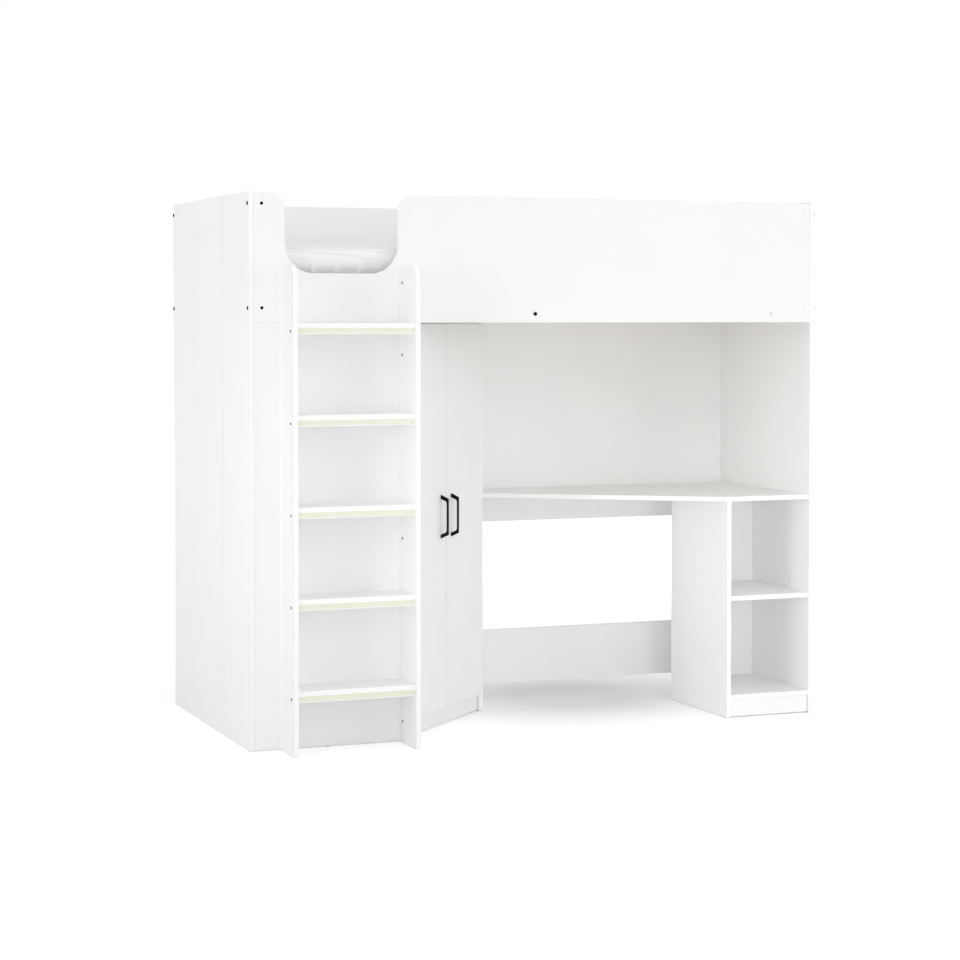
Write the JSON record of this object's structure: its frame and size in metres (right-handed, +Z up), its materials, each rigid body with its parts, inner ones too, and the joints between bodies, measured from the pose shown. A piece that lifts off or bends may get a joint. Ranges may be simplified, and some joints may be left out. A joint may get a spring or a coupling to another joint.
{
  "type": "loft bed",
  "caption": "High single bed with a ladder up to a rounded entry cut-out, a diagonal corner wardrobe, a desk and an open shelf cubby under the mattress.",
  "frame": {"origin": "on the floor, under the middle of the outline with the ladder", "axes": "+X along the bed from the ladder end to the desk end, +Y from the front to the back, +Z up"},
  "size_m": [1.964, 1.101, 1.717],
  "materials": {
    "coated_board": "white melamine foil on particle board, fine satin grain",
    "back_sheet": "thin white fibreboard",
    "slat_wood": "planed pine, unfinished",
    "mattress_cover": "white knitted cover",
    "glow_plastic": "pale yellow-green, satin",
    "black_metal": "black lacquer, satin",
    "white_plastic": "white, smooth",
    "hinge_lacquer": "white lacquer, satin",
    "zinc_steel": "zinc plated",
    "rail_chrome": "bright chrome",
    "glide_plastic": "dark grey, matte"
  },
  "bodies": {
    "bed_frame": {"left_end_panel": "coated_board", "right_end_panel": "coated_board", "front_guard_panel": "coated_board", "rear_guard_panel": "coated_board", "middle_cross_beam": "coated_board", "right_cross_beam": "coated_board", "wardrobe_front_panel": "coated_board", "wardrobe_side_panel": "coated_board", "wardrobe_floor": "coated_board", "wardrobe_top": "coated_board", "wardrobe_plinth": "coated_board", "desk_top": "coated_board", "desk_back_panel": "coated_board", "desk_stretcher": "coated_board", "cubby_partition": "coated_board", "cubby_back_panel": "coated_board", "cubby_shelf": "coated_board", "cubby_floor": "coated_board", "cubby_plinth": "coated_board", "ladder_left_stile": "coated_board", "ladder_right_stile": "coated_board", "ladder_tread_1": "coated_board", "ladder_tread_2": "coated_board", "ladder_tread_3": "coated_board", "ladder_tread_4": "coated_board", "ladder_tread_5": "coated_board", "wardrobe_back_panel": "back_sheet", "bed_slats": "slat_wood", "front_slat_ledges": "slat_wood", "rear_slat_ledges": "slat_wood", "mattress": "mattress_cover", "glow_strip_1": "glow_plastic", "glow_strip_2": "glow_plastic", "glow_strip_3": "glow_plastic", "glow_strip_4": "glow_plastic", "glow_strip_5": "glow_plastic", "end_panel_bolts": "black_metal", "guard_barrel_nuts": "black_metal", "beam_bolts": "black_metal", "tread_screws": "black_metal", "ladder_bolts": "black_metal", "stile_barrel_nuts": "black_metal", "nut_caps": "white_plastic", "strip_pins": "white_plastic", "left_frame_hinge_leaves": "hinge_lacquer", "right_frame_hinge_leaves": "hinge_lacquer", "left_hinge_pins": "hinge_lacquer", "right_hinge_pins": "hinge_lacquer", "hanging_rail": "rail_chrome", "rail_sockets": "rail_chrome", "floor_glides": "glide_plastic"},
    "left_door": {"left_door": "coated_board", "left_door_handle": "black_metal", "left_handle_screws": "zinc_steel", "left_door_hinge_leaves": "hinge_lacquer"},
    "right_door": {"right_door": "coated_board", "right_door_handle": "black_metal", "right_handle_screws": "zinc_steel", "right_door_hinge_leaves": "hinge_lacquer"}
  },
  "joints": [
    {"name": "left_door_swing", "type": "hinge", "parent": "bed_frame", "child": "left_door", "pos_m": [-0.46787, -0.39124, 0.686], "axis": [0, 0, -1], "range_deg": [0, 95]},
    {"name": "right_door_swing", "type": "hinge", "parent": "bed_frame", "child": "right_door", "pos_m": [-0.05226, 0.02437, 0.686], "axis": [0, 0, 1], "range_deg": [0, 95]}
  ]
}
